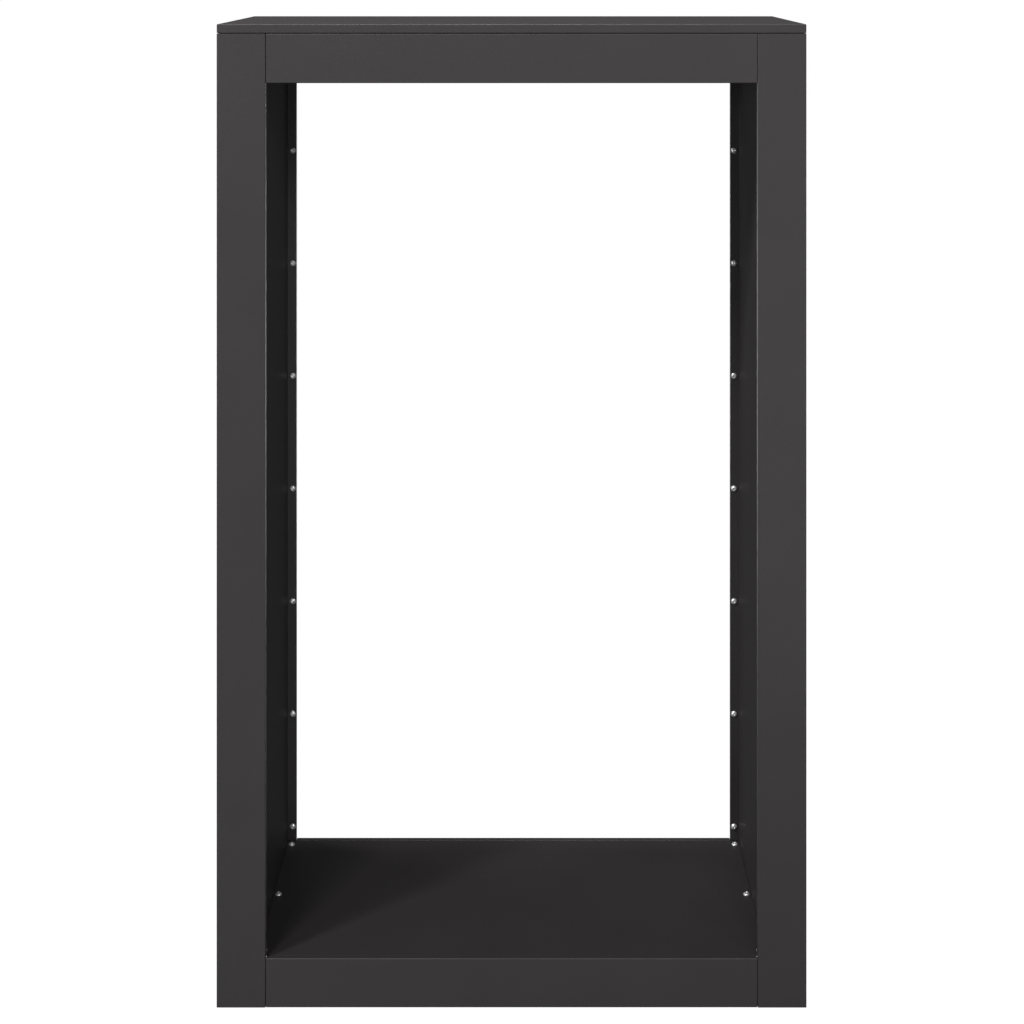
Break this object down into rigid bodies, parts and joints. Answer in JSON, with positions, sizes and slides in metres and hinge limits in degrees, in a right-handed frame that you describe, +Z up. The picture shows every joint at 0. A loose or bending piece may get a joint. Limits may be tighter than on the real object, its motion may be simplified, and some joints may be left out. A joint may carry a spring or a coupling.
{
  "type": "firewood log rack",
  "caption": "Tall free-standing rectangular log rack in folded anthracite sheet steel: hollow side walls, shelf, closed top, bay open front and back.",
  "frame": {"origin": "on the floor, under the middle of the rack", "axes": "+Z up along the height, +Y from the front face to the rear face, +X to the right seen from the front"},
  "size_m": [0.6, 0.25, 1],
  "materials": {
    "anthracite_coat": "satin anthracite powder coat, very fine texture",
    "zinc_screw": "bright zinc-plated steel"
  },
  "bodies": {
    "root": {"left_outer_panel": "anthracite_coat", "right_outer_panel": "anthracite_coat", "left_inner_panel": "anthracite_coat", "right_inner_panel": "anthracite_coat", "left_top_channel": "anthracite_coat", "right_top_channel": "anthracite_coat", "bottom_front_rail": "anthracite_coat", "bottom_rear_rail": "anthracite_coat", "top_front_rail": "anthracite_coat", "top_rear_rail": "anthracite_coat", "shelf_panel": "anthracite_coat", "shelf_stiffener": "anthracite_coat", "top_panel": "anthracite_coat", "top_stiffener": "anthracite_coat", "screw_left_front_1": "zinc_screw", "screw_left_front_2": "zinc_screw", "screw_left_front_3": "zinc_screw", "screw_left_front_4": "zinc_screw", "screw_left_front_5": "zinc_screw", "screw_left_front_6": "zinc_screw", "screw_left_front_7": "zinc_screw", "screw_left_front_8": "zinc_screw", "screw_left_rear_1": "zinc_screw", "screw_left_rear_2": "zinc_screw", "screw_left_rear_3": "zinc_screw", "screw_left_rear_4": "zinc_screw", "screw_left_rear_5": "zinc_screw", "screw_left_rear_6": "zinc_screw", "screw_left_rear_7": "zinc_screw", "screw_left_rear_8": "zinc_screw", "screw_left_shelf_1": "zinc_screw", "screw_left_shelf_2": "zinc_screw", "screw_left_shelf_3": "zinc_screw", "screw_left_top_1": "zinc_screw", "screw_left_top_2": "zinc_screw", "screw_left_top_3": "zinc_screw", "screw_right_front_1": "zinc_screw", "screw_right_front_2": "zinc_screw", "screw_right_front_3": "zinc_screw", "screw_right_front_4": "zinc_screw", "screw_right_front_5": "zinc_screw", "screw_right_front_6": "zinc_screw", "screw_right_front_7": "zinc_screw", "screw_right_front_8": "zinc_screw", "screw_right_rear_1": "zinc_screw", "screw_right_rear_2": "zinc_screw", "screw_right_rear_3": "zinc_screw", "screw_right_rear_4": "zinc_screw", "screw_right_rear_5": "zinc_screw", "screw_right_rear_6": "zinc_screw", "screw_right_rear_7": "zinc_screw", "screw_right_rear_8": "zinc_screw", "screw_right_shelf_1": "zinc_screw", "screw_right_shelf_2": "zinc_screw", "screw_right_shelf_3": "zinc_screw", "screw_right_top_1": "zinc_screw", "screw_right_top_2": "zinc_screw", "screw_right_top_3": "zinc_screw"}
  },
  "joints": []
}
